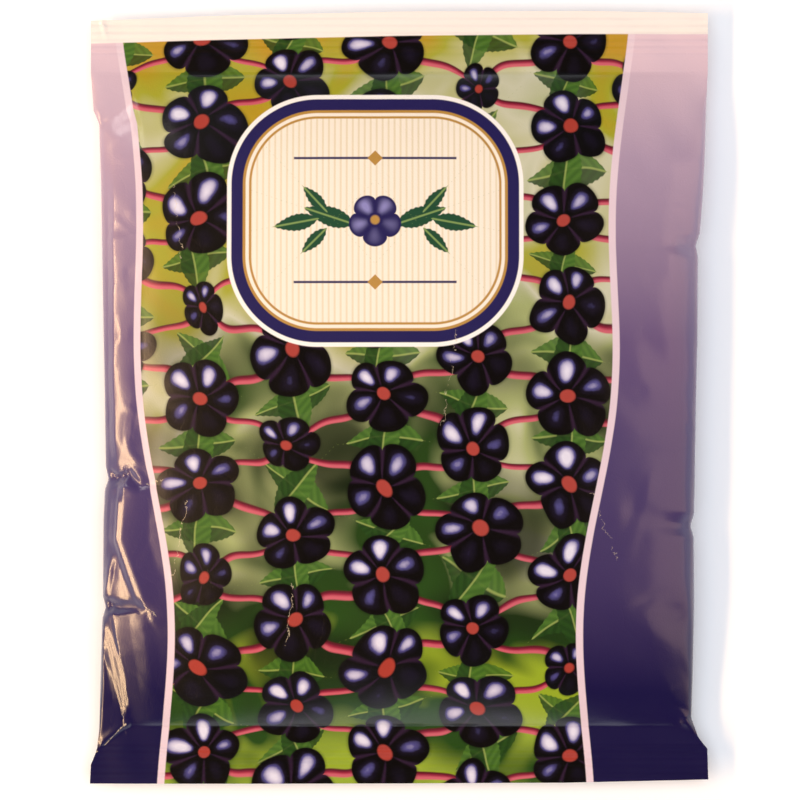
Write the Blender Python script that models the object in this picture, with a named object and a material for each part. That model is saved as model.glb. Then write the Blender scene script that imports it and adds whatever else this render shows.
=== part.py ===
"""A sealed film packet of dried elderberries, lying on its back.

Metres, +Z up.  The printed front faces +Z, the packet's top edge is towards +Y, and
the origin is on the surface that the packet lies on, under the middle of its outline.
The packet is one web of film: a sleeve with a lap seam down the back, welded flat
and ribbed across both ends.  The fruit is a loose layer inside it.
"""

import math

import bmesh
import bpy
import numpy as np

MM = 0.001

# Film packet, in millimetres.
FACE_LENGTH = 163.0          # top edge to bottom edge
FACE_WIDTH = 130.0           # across the welded ends
BODY_WIDTH = 125.0           # across the filled part, drawn in by its filling
FILM = 0.3                   # film, thicker than life so that it is a solid wall
HOLLOW_RIM = 0.1             # half height of the hollow's rim, at the side folds
HOLLOW_MARGIN = 0.36         # film between the side folds and the hollow
SIDE_HEIGHT = 5.0            # side folds above the surface
SEAL_HEIGHT = 4.2            # welded ends above the surface
CROWN = 9.2                  # rise of the front above the side folds
TOP_SEAL = 13.0              # depth of the welded bands
BOTTOM_SEAL = 12.0
TOP_RAMP = 50.0              # length over which the front rises from each weld
BOTTOM_RAMP = 34.0
BACK_RAMP = 22.0             # length over which the back falls to the surface
BACK_FLATNESS = 1.35         # above 1, the share of the back that lies flat grows
LUMP = 0.3                   # rise and fall of the front over uneven fruit
SECOND_LUMP = 0.6            # share of it in the second, slanted set of lumps
LUMP_ACROSS = 11.0           # lengths that set how far apart the lumps lie
LUMP_ALONG = 14.0
SECOND_LUMP_ACROSS = 7.0
SECOND_LUMP_ALONG = 9.0
CREASE_MARGIN = 1.2          # creases fade out this far from the side folds
END_SWELL_POWER = 2.2        # roundness of the front's ends, sides and back edges
END_SWELL_SOFTNESS = 0.8
FRONT_POWER = 2.2
BACK_POWER = 2.6
SEAL_RIBS = 5                # weld ribs across each band
RIB_RISE = 0.15
SEAL_WAVE = 0.35             # slow waviness of the welded bands
SEAL_WAVE_ACROSS = 15.0      # lengths that set how far apart those waves lie
SEAL_WAVE_ALONG = 40.0
FOLD_BLEND = 20.0            # length over which the side folds rise from each weld
LAP_HALF = 5.0               # the lap seam is twice this wide
LAP_STEP = 0.3               # width of the step at the lap's free edge
LAP_EASE = 12.0              # past the step, the back comes down again over this width

# Half widths down each side fold, as (distance from the middle, towards the top; half
# width).  The short dips are where the fold has buckled.
LEFT_FOLD = (
    (-81.5, 65.2), (-75.0, 65.0), (-71.0, 63.9), (-67.0, 63.2), (-58.0, 62.9),
    (-46.5, 62.5), (-44.2, 61.8), (-41.8, 62.4), (-26.0, 62.3), (-19.5, 62.0),
    (-17.2, 61.2), (-14.5, 61.8), (0.0, 62.0), (20.0, 62.4), (45.0, 62.8),
    (57.5, 63.2), (60.4, 64.4), (68.5, 65.0), (81.5, 65.0),
)
RIGHT_FOLD = (
    (-81.5, 65.2), (-72.5, 65.0), (-69.5, 63.0), (-66.5, 61.6), (-58.0, 61.9),
    (-43.0, 62.2), (-29.5, 62.1), (-27.0, 61.4), (-24.5, 62.2), (0.0, 62.6),
    (12.0, 62.9), (29.5, 63.0), (32.0, 62.5), (34.5, 63.4), (42.0, 64.0),
    (50.0, 64.4), (62.5, 64.8), (68.5, 65.1), (81.5, 65.1),
)

# Edges of the welded ends, as (distance from the middle, to the right; distance from
# the middle, towards the end).
TOP_EDGE = ((-65.0, 79.4), (-40.0, 80.4), (0.0, 81.3), (40.0, 81.5), (65.0, 81.0))
BOTTOM_EDGE = ((-65.0, 81.5), (0.0, 81.5), (35.0, 81.3), (65.0, 80.6))

# How far the filled body's corner folds reach into each welded band.
CORNER_REACH = {"left": 4.6, "right": 2.4}
CORNER_WIDTH = 8.0

# Creases and ridges of the front, as (half width, line), where a point of the line is
# (to the right of the middle, towards the top, height).  A negative height is a crease.
CREASES = (
    (3.0, ((-59.9, 40.0, 0.1), (-59.7, 22.0, 0.3), (-59.4, -10.0, 0.2))),
    (3.0, ((-61.2, -19.0, -0.6), (-58.4, -17.2, -1.0), (-54.6, -17.2, -0.7),
           (-48.0, -17.2, -0.1))),
    (3.0, ((-58.8, -20.5, 0.4), (-58.4, -29.5, 0.6), (-54.6, -42.0, 0.4))),
    (3.0, ((-62.2, -44.0, -0.7), (-58.4, -44.2, -0.9), (-51.6, -44.8, 0.0))),
    (3.0, ((-60.6, -46.5, 0.5), (-58.8, -60.0, 0.8), (-58.0, -68.3, 0.9))),
    (3.0, ((62.6, 32.0, -0.5), (57.0, 32.0, -0.4), (50.0, 34.5, 0.0))),
    (3.0, ((61.4, -27.0, -0.6), (56.0, -26.5, -0.5), (48.0, -24.5, 0.0))),
    (4.5, ((60.4, -67.8, 0.5), (55.0, -58.0, 0.4), (50.0, -41.8, 0.0))),
    (5.0, ((54.0, 60.0, 0.0), (57.5, 40.0, 0.25), (56.0, -20.0, 0.0))),
    (3.0, ((-63.2, 57.5, -0.6), (-60.0, 59.0, -0.5), (-55.0, 62.5, 0.0))),
)

# Mesh stations, as distances from the packet's middle line and middle.
COLUMNS = (LAP_HALF, LAP_HALF + LAP_STEP, 13.0, 21.0, 29.0, 37.0, 44.0, 50.0, 54.5,
           58.0, 60.4, 61.8, BODY_WIDTH / 2)
BODY_ROWS = (-69.5, -68.3, -66.5, -64.0, -60.0, -54.0, -49.0, -46.5, -44.2, -41.8,
             -36.0, -29.5, -27.0, -24.5, -19.5, -17.2, -14.5, -7.0, 0.0, 7.0, 14.0,
             21.0, 29.5, 32.0, 34.5, 42.0, 49.0, 54.0, 57.5, 60.5, 64.0, 66.5, 68.5)
HOLLOW_INSET = 2             # body rows between each weld and the hollow

# Fruit, in millimetres.
FRUIT_HALF_WIDTH = 57.0
FRUIT_BOTTOM = -62.0
FRUIT_TOP = 58.0
FRUIT_SQUARENESS = 4.0
BERRY_PITCH = 5.9            # a little larger than life
BERRY_RELIEF = 1.3
FRUIT_CLEARANCE = 0.45

FILM_COLOUR = (0.16, 0.10, 0.26, 1.0)
FRUIT_COLOUR = (0.020, 0.012, 0.018, 1.0)


def clear_scene():
    """Remove every object that the file opened with."""
    for leftover in list(bpy.data.objects):
        bpy.data.objects.remove(leftover, do_unlink=True)


def principled(name, colour, roughness):
    """Make a plain Principled material."""
    material = bpy.data.materials.new(name)
    material.use_nodes = True
    shader = material.node_tree.nodes["Principled BSDF"]
    shader.inputs["Base Color"].default_value = colour
    shader.inputs["Roughness"].default_value = roughness
    shader.inputs["Metallic"].default_value = 0.0
    material.diffuse_color = colour
    return material


def add_object(name, mesh_data, material):
    """Put a finished bmesh in the scene as one named, smooth-shaded object."""
    mesh = bpy.data.meshes.new(name)
    mesh_data.to_mesh(mesh)
    mesh_data.free()
    mesh.materials.append(material)
    mesh.shade_smooth()
    mesh.set_sharp_from_angle(angle=math.radians(38.0))
    part = bpy.data.objects.new(name, mesh)
    bpy.context.collection.objects.link(part)
    return part


def curve(points, at):
    """Read a driving curve, given as (place, value) pairs, at a place."""
    places = [point[0] for point in points]
    values = [point[1] for point in points]
    return float(np.interp(at, places, values))


def smooth(value):
    """Ease a value that runs from 0 to 1."""
    value = min(max(value, 0.0), 1.0)
    return value * value * (3.0 - 2.0 * value)


def fold_half_width(side, along):
    """Half width of the packet on one side, at a distance along it."""
    return curve(LEFT_FOLD if side < 0 else RIGHT_FOLD, along)


def body_ends():
    """Distances from the middle to the bottom and top welds."""
    return -FACE_LENGTH / 2 + BOTTOM_SEAL, FACE_LENGTH / 2 - TOP_SEAL


def mid_height(across, along):
    """Height of the side folds and of the welded bands."""
    bottom, top = body_ends()
    inside = min(along - bottom, top - along)
    blend = smooth(inside / FOLD_BLEND)
    wave = SEAL_WAVE * math.sin(across / SEAL_WAVE_ACROSS + along / SEAL_WAVE_ALONG)
    seal = SEAL_HEIGHT + wave
    return seal + (SIDE_HEIGHT - seal) * blend


def front_swell(along):
    """How far the front has risen at a distance along the packet, 0 to 1."""
    bottom, top = body_ends()
    low = min(max((along - bottom) / BOTTOM_RAMP, 0.0), 1.0)
    high = min(max((top - along) / TOP_RAMP, 0.0), 1.0)
    low = 1.0 - (1.0 - low) ** END_SWELL_POWER
    high = 1.0 - (1.0 - high) ** END_SWELL_POWER
    return (low * high) ** END_SWELL_SOFTNESS


def back_swell(along):
    """How far the back has fallen towards the surface, 0 to 1."""
    bottom, top = body_ends()
    low = min(max((along - bottom) / BACK_RAMP, 0.0), 1.0)
    high = min(max((top - along) / BACK_RAMP, 0.0), 1.0)
    return (1.0 - (1.0 - low) ** 2) * (1.0 - (1.0 - high) ** 2)


def crease_lift(across, along):
    """How far the creases and ridges push the front out of its plain form."""
    lift = 0.0
    for half, line in CREASES:
        best = 0.0
        for (x0, y0, h0), (x1, y1, h1) in zip(line, line[1:]):
            length = (x1 - x0) ** 2 + (y1 - y0) ** 2
            part = ((across - x0) * (x1 - x0) + (along - y0) * (y1 - y0)) / length
            part = min(max(part, 0.0), 1.0)
            away = math.hypot(across - x0 - part * (x1 - x0), along - y0 - part * (y1 - y0))
            height = (h0 + part * (h1 - h0)) * max(1.0 - away / half, 0.0)
            best = height if abs(height) > abs(best) else best
        lift += best
    return lift


def lumps(across, along):
    """Slow rise and fall of the front, where the fruit lies unevenly."""
    first = math.sin(across / LUMP_ACROSS + 0.8) * math.sin(along / LUMP_ALONG - 0.4)
    second = math.sin(across / SECOND_LUMP_ACROSS - along / SECOND_LUMP_ALONG + 2.0)
    return LUMP * (first + SECOND_LUMP * second)


def front_round(share):
    """How far the front's cross-section has risen, at a share of the half width."""
    return math.sqrt(1.0 - share ** FRONT_POWER)


def back_contact(share, along):
    """Share of the way down to the surface that the back has reached."""
    reach = BACK_FLATNESS * back_swell(along) * math.sqrt(1.0 - share ** BACK_POWER)
    return 1.0 - (1.0 - min(reach, 1.0)) ** 2


def lap_step(share, hollow):
    """Rise of the back past the lap seam's edge, where one film lies on the other.

    The share of the half width is negative on the left.  Outside, the step is at the
    lap's right edge, and in the hollow at its left edge.
    """
    edge = (LAP_HALF + LAP_STEP / 2) / (BODY_WIDTH / 2)
    if share < (-edge if hollow else edge):
        return 0.0
    return FILM * (1.0 - smooth((share - edge) * BODY_WIDTH / 2 / LAP_EASE))


def skin_heights(across, along, half_width, hollow):
    """Heights of the front and the back, of the outer skin or of the hollow."""
    rim = HOLLOW_RIM if hollow else FILM
    wall = FILM if hollow else 0.0
    signed_share = max(min(across / half_width, 1.0), -1.0)
    share = abs(signed_share)
    middle = mid_height(across, along)
    swell = front_swell(along)
    rise = max(CROWN * swell + FILM - wall - rim, 0.0)
    rounding = front_round(share)
    edge = smooth((1.0 - share) * half_width / CREASE_MARGIN)
    uneven = lumps(across, along) * swell * rounding + crease_lift(across, along) * edge
    upper = middle + rim + rise * rounding + uneven
    fall = (middle - rim - wall) * back_contact(share, along)
    lower = middle - rim - fall + lap_step(signed_share, hollow)
    return upper, lower


def column_places():
    """Mesh columns as shares of the half width, from left to right."""
    half = [place / (BODY_WIDTH / 2) for place in COLUMNS]
    return [-share for share in reversed(half)] + half


def seal_rows(edge, root):
    """Mesh rows of a welded band, from its edge to its root."""
    count = 2 * SEAL_RIBS
    return [edge + (root - edge) * step / count for step in range(count)]


def plan_place(share, along):
    """Where a column share and a row land, seen from above."""
    bottom, top = body_ends()
    side = -1 if share < 0 else 1
    across = share * fold_half_width(side, along)
    if along < bottom:
        edge = curve(BOTTOM_EDGE, across)
        stretch = (edge + bottom) / (FACE_LENGTH / 2 + bottom)
        place = bottom + (along - bottom) * stretch
    elif along > top:
        edge = curve(TOP_EDGE, across)
        stretch = (edge - top) / (FACE_LENGTH / 2 - top)
        place = top + (along - top) * stretch
    else:
        place = along
    name = "left" if side < 0 else "right"
    corner = smooth((abs(across) - FACE_WIDTH / 2 + CORNER_WIDTH) / CORNER_WIDTH)
    near = max(1.0 - abs(along - bottom) / BOTTOM_SEAL, 0.0)
    return across, place - CORNER_REACH[name] * corner * near


def rib_lift(row, along):
    """Height of the weld ribs, which rise on every other row."""
    bottom, top = body_ends()
    if bottom <= along <= top:
        return 0.0
    return RIB_RISE if row % 2 else -RIB_RISE


def skin_points(rows, hollow):
    """Points of the front and the back, row by row, of the outer skin or the hollow."""
    front = []
    back = []
    for row, along in enumerate(rows):
        front_row = []
        back_row = []
        for share in column_places():
            across, place = plan_place(share, along)
            half = fold_half_width(-1 if share < 0 else 1, along)
            if hollow:
                across *= (half - HOLLOW_MARGIN) / half
                half -= HOLLOW_MARGIN
            upper, lower = skin_heights(across, along, half, hollow)
            lift = rib_lift(row, along)
            front_row.append((across * MM, place * MM, (upper + lift) * MM))
            back_row.append((across * MM, place * MM, (lower + lift) * MM))
        front.append(front_row)
        back.append(back_row)
    return front, back


def close_skin(mesh_data, front, back, inwards, left_open=()):
    """Face a front and a back grid, and join them round their rim."""
    top = [[mesh_data.verts.new(point) for point in row] for row in front]
    low = [[mesh_data.verts.new(point) for point in row] for row in back]
    last_row = len(top) - 1
    last_column = len(top[0]) - 1

    def face(corners):
        mesh_data.faces.new(list(reversed(corners)) if inwards else corners)

    for row in range(last_row):
        for column in range(last_column):
            cell = ((row, column), (row, column + 1), (row + 1, column + 1), (row + 1, column))
            face([top[r][c] for r, c in cell])
            if (row, column) not in left_open:
                face([low[r][c] for r, c in reversed(cell)])
    rim = [(0, column) for column in range(last_column)]
    rim += [(row, last_column) for row in range(last_row)]
    rim += [(last_row, column) for column in range(last_column, 0, -1)]
    rim += [(row, 0) for row in range(last_row, 0, -1)]
    for here, there in zip(rim, rim[1:] + rim[:1]):
        face([low[here[0]][here[1]], low[there[0]][there[1]],
              top[there[0]][there[1]], top[here[0]][here[1]]])
    return low


def build_film(material):
    """The packet: an outer skin and a hollow, joined by a slit under the lap's edge."""
    bottom, top = body_ends()
    body = list(BODY_ROWS)
    lower_seal = seal_rows(-FACE_LENGTH / 2, bottom)
    upper_seal = list(reversed(seal_rows(FACE_LENGTH / 2, top)))
    rows = lower_seal + body + upper_seal
    hollow_rows = body[HOLLOW_INSET:len(body) - HOLLOW_INSET]
    slit_column = len(COLUMNS)
    slit_row = body.index(0.0)
    outer_slit = (len(lower_seal) + slit_row, slit_column)
    hollow_slit = (slit_row - HOLLOW_INSET, slit_column)

    mesh_data = bmesh.new()
    front, back = skin_points(rows, hollow=False)
    outer_low = close_skin(mesh_data, front, back, False, (outer_slit,))
    front, back = skin_points(hollow_rows, hollow=True)
    hollow_low = close_skin(mesh_data, front, back, True, (hollow_slit,))
    corners = ((0, 0), (0, 1), (1, 1), (1, 0))
    outer_ring = [outer_low[outer_slit[0] + r][outer_slit[1] + c] for r, c in corners]
    hollow_ring = [hollow_low[hollow_slit[0] + r][hollow_slit[1] + c] for r, c in corners]
    for step in range(4):
        ahead = (step + 1) % 4
        mesh_data.faces.new((outer_ring[step], outer_ring[ahead],
                             hollow_ring[ahead], hollow_ring[step]))
    bmesh.ops.triangulate(mesh_data, faces=mesh_data.faces[:])
    bmesh.ops.recalc_face_normals(mesh_data, faces=mesh_data.faces[:])
    return add_object("film_packet", mesh_data, material)


def fruit_lattice(mesh_data):
    """A flat triangular lattice that covers the fruit's outline.

    Every third point is the top of a berry.  Returns the set of those points.
    """
    step = BERRY_PITCH / math.sqrt(3.0)
    line = step * math.sqrt(3.0) / 2
    middle = (FRUIT_BOTTOM + FRUIT_TOP) / 2
    half_length = (FRUIT_TOP - FRUIT_BOTTOM) / 2
    last_row = int(half_length / line) + 1
    last_column = int(FRUIT_HALF_WIDTH / step) + 1
    points = {}
    tops = set()
    for row in range(-last_row, last_row + 1):
        for column in range(-last_column, last_column + 1):
            across = (column + 0.5 * (row % 2)) * step
            along = row * line
            across_share = abs(across) / FRUIT_HALF_WIDTH
            along_share = abs(along) / half_length
            if across_share ** FRUIT_SQUARENESS + along_share ** FRUIT_SQUARENESS > 1.0:
                continue
            point = mesh_data.verts.new((across, along + middle, 0.0))
            points[(row, column)] = point
            if (column + 2 * (row // 2) + (row % 2) * 2) % 3 == 0:
                tops.add(point)
    for (row, column), point in points.items():
        odd = row % 2
        right = points.get((row, column + 1))
        above_left = points.get((row + 1, column - 1 + odd))
        above_right = points.get((row + 1, column + odd))
        if right and above_right:
            mesh_data.faces.new((point, right, above_right))
        if above_left and above_right:
            mesh_data.faces.new((point, above_right, above_left))
    return tops


def drop_loose(mesh_data):
    """Remove lattice points that no face uses."""
    loose = [point for point in mesh_data.verts if not point.link_faces]
    bmesh.ops.delete(mesh_data, geom=loose, context="VERTS")


def build_fruit(material):
    """The fruit: a layer of berries that stand out of both its faces."""
    mesh_data = bmesh.new()
    tops = {(round(point.co.x, 3), round(point.co.y, 3)) for point in fruit_lattice(mesh_data)}
    drop_loose(mesh_data)
    upper = bmesh.ops.extrude_face_region(mesh_data, geom=mesh_data.faces[:])
    upper = {item for item in upper["geom"] if isinstance(item, bmesh.types.BMVert)}
    for point in mesh_data.verts:
        across, along = point.co.x, point.co.y
        half = fold_half_width(-1 if across < 0 else 1, along) - HOLLOW_MARGIN
        ceiling, ground = skin_heights(across, along, half, hollow=True)
        relief = 0.0 if (round(across, 3), round(along, 3)) in tops else BERRY_RELIEF
        if point in upper:
            height = ceiling - FRUIT_CLEARANCE - relief
        else:
            height = max(ground, 2 * FILM) + FRUIT_CLEARANCE + relief
        point.co = (across * MM, along * MM, height * MM)
    bmesh.ops.triangulate(mesh_data, faces=mesh_data.faces[:])
    bmesh.ops.recalc_face_normals(mesh_data, faces=mesh_data.faces[:])
    return add_object("dried_elderberries", mesh_data, material)


def main():
    """Build the packet and what it holds."""
    clear_scene()
    build_film(principled("printed_film", FILM_COLOUR, 0.28))
    build_fruit(principled("dried_fruit", FRUIT_COLOUR, 0.55))


main()
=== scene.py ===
"""Looks of a sealed, printed film packet of dried elderberries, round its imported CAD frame."""

import logging
import math
from dataclasses import dataclass, field
from enum import Enum

import bpy
import numpy as np
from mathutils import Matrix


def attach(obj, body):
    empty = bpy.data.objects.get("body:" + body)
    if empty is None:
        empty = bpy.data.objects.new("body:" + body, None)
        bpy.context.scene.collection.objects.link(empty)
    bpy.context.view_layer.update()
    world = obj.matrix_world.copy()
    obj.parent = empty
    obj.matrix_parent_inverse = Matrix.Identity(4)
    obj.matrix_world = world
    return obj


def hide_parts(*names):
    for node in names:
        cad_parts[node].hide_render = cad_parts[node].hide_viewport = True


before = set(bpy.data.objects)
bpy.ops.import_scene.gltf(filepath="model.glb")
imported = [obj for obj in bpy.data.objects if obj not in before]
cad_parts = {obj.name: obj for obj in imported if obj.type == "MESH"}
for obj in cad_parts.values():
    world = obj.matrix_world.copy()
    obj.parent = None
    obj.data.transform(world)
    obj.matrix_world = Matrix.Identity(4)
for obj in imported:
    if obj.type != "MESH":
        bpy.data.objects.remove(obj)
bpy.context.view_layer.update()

LOG = logging.getLogger("packet")
MM = 0.001
FILM_MAP = "film"                 # UV map that holds the flat film, in steps of SHEET_MM
SHEET_MM = 300.0


def deselect() -> None:
    """Leave edit mode and deselect every object."""
    if bpy.context.object is not None and bpy.context.object.mode != "OBJECT":
        bpy.ops.object.mode_set(mode="OBJECT")
    bpy.ops.object.select_all(action="DESELECT")


class Side(Enum):
    """One of the packet's two side folds."""

    LEFT = -1
    RIGHT = 1


class Face(Enum):
    """One of the packet's two faces."""

    FRONT = "front"
    BACK = "back"


# ---------------------------------------------------------------- shape of the packet


@dataclass(frozen=True)
class Crease:
    """A crease or a ridge in the film, as a line of points on the packet's plan.

    Each point is (across, along, height) in millimetres from the packet's middle.  A
    negative height is a crease, and a positive one a ridge.  Seen from the front, the
    second width is that of the flank on the right of a line that runs down the packet,
    or above a line that runs to the right.
    """

    path: tuple
    half_width: float
    second_width: float = 0.0         # 0 where both flanks are as wide

    def lift(self, across: np.ndarray, along: np.ndarray) -> np.ndarray:
        """Work out how far the film is pushed out of its plain form.

        Args:
            across: distances to the right of the middle, in millimetres.
            along: distances towards the top edge, in millimetres.

        Returns:
            The height of the crease at each point, in millimetres.
        """
        best = np.zeros_like(across)
        for (x0, y0, h0), (x1, y1, h1) in zip(self.path, self.path[1:]):
            length = max((x1 - x0) ** 2 + (y1 - y0) ** 2, 1e-9)
            part = ((across - x0) * (x1 - x0) + (along - y0) * (y1 - y0)) / length
            part = np.clip(part, 0.0, 1.0)
            away = np.hypot(across - x0 - part * (x1 - x0), along - y0 - part * (y1 - y0))
            turn = (x1 - x0) * (along - y0) - (y1 - y0) * (across - x0)
            width = np.where(turn > 0, self.second_width or self.half_width, self.half_width)
            near = np.clip(1.0 - away / width, 0.0, 1.0)
            value = (h0 + part * (h1 - h0)) * near
            best = np.where(np.abs(value) > np.abs(best), value, best)
        return best


@dataclass(frozen=True)
class Facet:
    """A flat facet of the film between two lines that run down the packet.

    Each line is (along, across) points from the top down, in millimetres from the
    packet's middle.  The facet falls to the left at its slope: the film is raised at one
    of its edges, and comes back to its plain form over the flank past that edge.
    """

    left: tuple
    right: tuple
    slope: float = 0.39
    flank: float = 1.2
    limit: float = 0.9                # most that an edge may stand out
    reach: float = 2.5                # the facet fades in and out over this length
    wave: float = 0.0                 # rise of two fine waves across it

    def press(self, points: np.ndarray, rows: np.ndarray) -> None:
        """Press the facet into a grid of points, row by row.

        Args:
            points: the grid, rows by columns by three, in millimetres.
            rows: places of the rows along the packet.
        """
        left = np.array(self.left[::-1])
        right = np.array(self.right[::-1])
        for index in np.nonzero((rows > right[0, 0]) & (rows < right[-1, 0]))[0]:
            x, z = points[index, :, 0], points[index, :, 2]
            from_x = np.interp(rows[index], left[:, 0], left[:, 1])
            to_x = np.interp(rows[index], right[:, 0], right[:, 1])
            width = max(to_x - from_x, 1e-3)
            from_z, to_z = np.interp((from_x, to_x), x, z)
            rise = self.slope * width - (to_z - from_z)
            high, low = np.clip((rise, -rise), 0.0, self.limit)
            share = (x - from_x) / width
            flat = from_z + low + share * (to_z + high - from_z - low)
            flat += self.wave * np.sin(4.0 * math.pi * share)
            past = np.where(share > 1.0, x - to_x, from_x - x)
            fall = np.where(share > 1.0, high, low) * np.clip(1.0 - past / self.flank, 0.0, 1.0)
            pressed = np.where((share > 0.0) & (share <= 1.0), flat, z + fall)
            end = min(rows[index] - right[0, 0], right[-1, 0] - rows[index])
            points[index, :, 2] += min(end / self.reach, 1.0) * (pressed - z)


@dataclass(frozen=True)
class PacketForm:
    """The packet's form: the CAD solid's driving sizes, in millimetres."""

    length: float = 163.0
    body_width: float = 125.0
    film: float = 0.3
    welded: float = 0.2               # half thickness of the welded bands
    side_height: float = 5.0
    seal_height: float = 4.2
    crown: float = 9.2
    top_seal: float = 13.0
    bottom_seal: float = 12.0
    top_ramp: float = 50.0
    bottom_ramp: float = 34.0
    back_ramp: float = 22.0
    back_flatness: float = 1.35
    lump: float = 0.3
    seal_wave: float = 0.35
    fold_blend: float = 20.0
    true_half: float = 50.0           # the film is laid true to length as far as this
    lap_half: float = 5.0
    lap_ease: float = 12.0            # past the lap, the back comes down over this width
    flat_half: float = 65.0           # half width of the film, laid flat
    corner_width: float = 8.0
    corner_reach: tuple = (4.6, 2.4)  # left, right
    left_fold: tuple = (
        (-81.5, 65.2), (-75.0, 65.0), (-71.0, 63.9), (-67.0, 63.2), (-58.0, 62.9),
        (-46.5, 62.5), (-44.2, 61.8), (-41.8, 62.4), (-26.0, 62.3), (-19.5, 62.0),
        (-17.2, 61.2), (-14.5, 61.8), (0.0, 62.0), (20.0, 62.4), (45.0, 62.8),
        (57.5, 63.2), (60.4, 64.4), (68.5, 65.0), (81.5, 65.0),
    )
    right_fold: tuple = (
        (-81.5, 65.2), (-72.5, 65.0), (-69.5, 63.0), (-66.5, 61.6), (-58.0, 61.9),
        (-43.0, 62.2), (-29.5, 62.1), (-27.0, 61.4), (-24.5, 62.2), (0.0, 62.6),
        (12.0, 62.9), (29.5, 63.0), (32.0, 62.5), (34.5, 63.4), (42.0, 64.0),
        (50.0, 64.4), (62.5, 64.8), (68.5, 65.1), (81.5, 65.1),
    )
    top_edge: tuple = ((-65.0, 79.4), (-40.0, 80.4), (0.0, 81.3), (40.0, 81.5), (65.0, 81.0))
    bottom_edge: tuple = ((-65.0, 81.5), (0.0, 81.5), (35.0, 81.3), (65.0, 80.6))

    @property
    def bottom(self) -> float:
        """Distance from the middle to the bottom weld's root, negative."""
        return self.bottom_seal - self.length / 2

    @property
    def top(self) -> float:
        """Distance from the middle to the top weld's root."""
        return self.length / 2 - self.top_seal

    @staticmethod
    def read(points: tuple, at: np.ndarray) -> np.ndarray:
        """Read a driving curve of (place, value) pairs."""
        return np.interp(at, [point[0] for point in points], [point[1] for point in points])

    @staticmethod
    def ease(value: np.ndarray) -> np.ndarray:
        """Ease a value that runs from 0 to 1."""
        value = np.clip(value, 0.0, 1.0)
        return value * value * (3.0 - 2.0 * value)

    def half_width(self, side: Side, along: np.ndarray) -> np.ndarray:
        """Half width of the packet on one side."""
        return self.read(self.left_fold if side is Side.LEFT else self.right_fold, along)

    def middle_height(self, across: np.ndarray, along: np.ndarray) -> np.ndarray:
        """Height of the side folds and of the welded bands."""
        inside = np.minimum(along - self.bottom, self.top - along)
        blend = self.ease(inside / self.fold_blend)
        seal = self.seal_height + self.seal_wave * np.sin(across / 15.0 + along / 40.0)
        return seal + (self.side_height - seal) * blend

    def end_shares(self, along: np.ndarray, low_ramp: float, high_ramp: float) -> tuple:
        """How far along each end's ramp a place is, 0 at the weld and 1 past the ramp."""
        low = np.clip((along - self.bottom) / low_ramp, 0.0, 1.0)
        high = np.clip((self.top - along) / high_ramp, 0.0, 1.0)
        return low, high

    def front_swell(self, along: np.ndarray) -> np.ndarray:
        """How far the front has risen, 0 to 1."""
        low, high = self.end_shares(along, self.bottom_ramp, self.top_ramp)
        return ((1.0 - (1.0 - low) ** 2.2) * (1.0 - (1.0 - high) ** 2.2)) ** 0.8

    def back_swell(self, along: np.ndarray) -> np.ndarray:
        """How far the back has fallen towards the surface, 0 to 1."""
        low, high = self.end_shares(along, self.back_ramp, self.back_ramp)
        return (1.0 - (1.0 - low) ** 2) * (1.0 - (1.0 - high) ** 2)

    def lumps(self, across: np.ndarray, along: np.ndarray) -> np.ndarray:
        """Slow rise and fall of the front, where the fruit lies unevenly."""
        first = np.sin(across / 11.0 + 0.8) * np.sin(along / 14.0 - 0.4)
        second = np.sin(across / 7.0 - along / 9.0 + 2.0)
        return self.lump * (first + 0.6 * second)

    def heights(self, share: np.ndarray, across: np.ndarray, along: np.ndarray) -> tuple:
        """Heights of the front and the back at signed shares of the half width.

        Args:
            share: share of the half width, negative on the left.
            across: distance to the right of the middle.
            along: distance towards the top edge.

        Returns:
            The front's heights and the back's heights.
        """
        size = np.clip(np.abs(share), 0.0, 1.0)
        middle = self.middle_height(across, along)
        swell = self.front_swell(along)
        rounding = np.sqrt(1.0 - size ** 2.2)
        rise = self.crown * swell + (self.film - self.welded) * swell
        upper = middle + self.welded + (rise + self.lumps(across, along) * swell) * rounding
        reach = self.back_flatness * self.back_swell(along) * np.sqrt(1.0 - size ** 2.6)
        contact = 1.0 - (1.0 - np.minimum(reach, 1.0)) ** 2
        past = share * self.body_width / 2 - self.lap_half
        fade = 1.0 - self.ease(past / self.lap_ease)
        step = np.where(past > 0.0, self.film * (0.3 + 0.7 * contact) * fade, 0.0)
        lower = (middle - self.welded) * (1.0 - contact) + step
        return upper, lower

    def place(self, across: np.ndarray, along: np.ndarray) -> np.ndarray:
        """Where a row of film lands along the packet, seen from above."""
        top_share = np.clip((along - self.top) / self.top_seal, 0.0, None)
        low_share = np.clip((self.bottom - along) / self.bottom_seal, 0.0, None)
        top_gap = self.length / 2 - self.read(self.top_edge, across)
        low_gap = self.length / 2 - self.read(self.bottom_edge, across)
        reach = np.where(across < 0, self.corner_reach[0], self.corner_reach[1])
        corner = self.ease((np.abs(across) - self.flat_half + self.corner_width) / self.corner_width)
        near = np.clip(1.0 - np.abs(along - self.bottom) / self.bottom_seal, 0.0, None)
        return along - top_gap * top_share + low_gap * low_share - reach * corner * near


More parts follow.
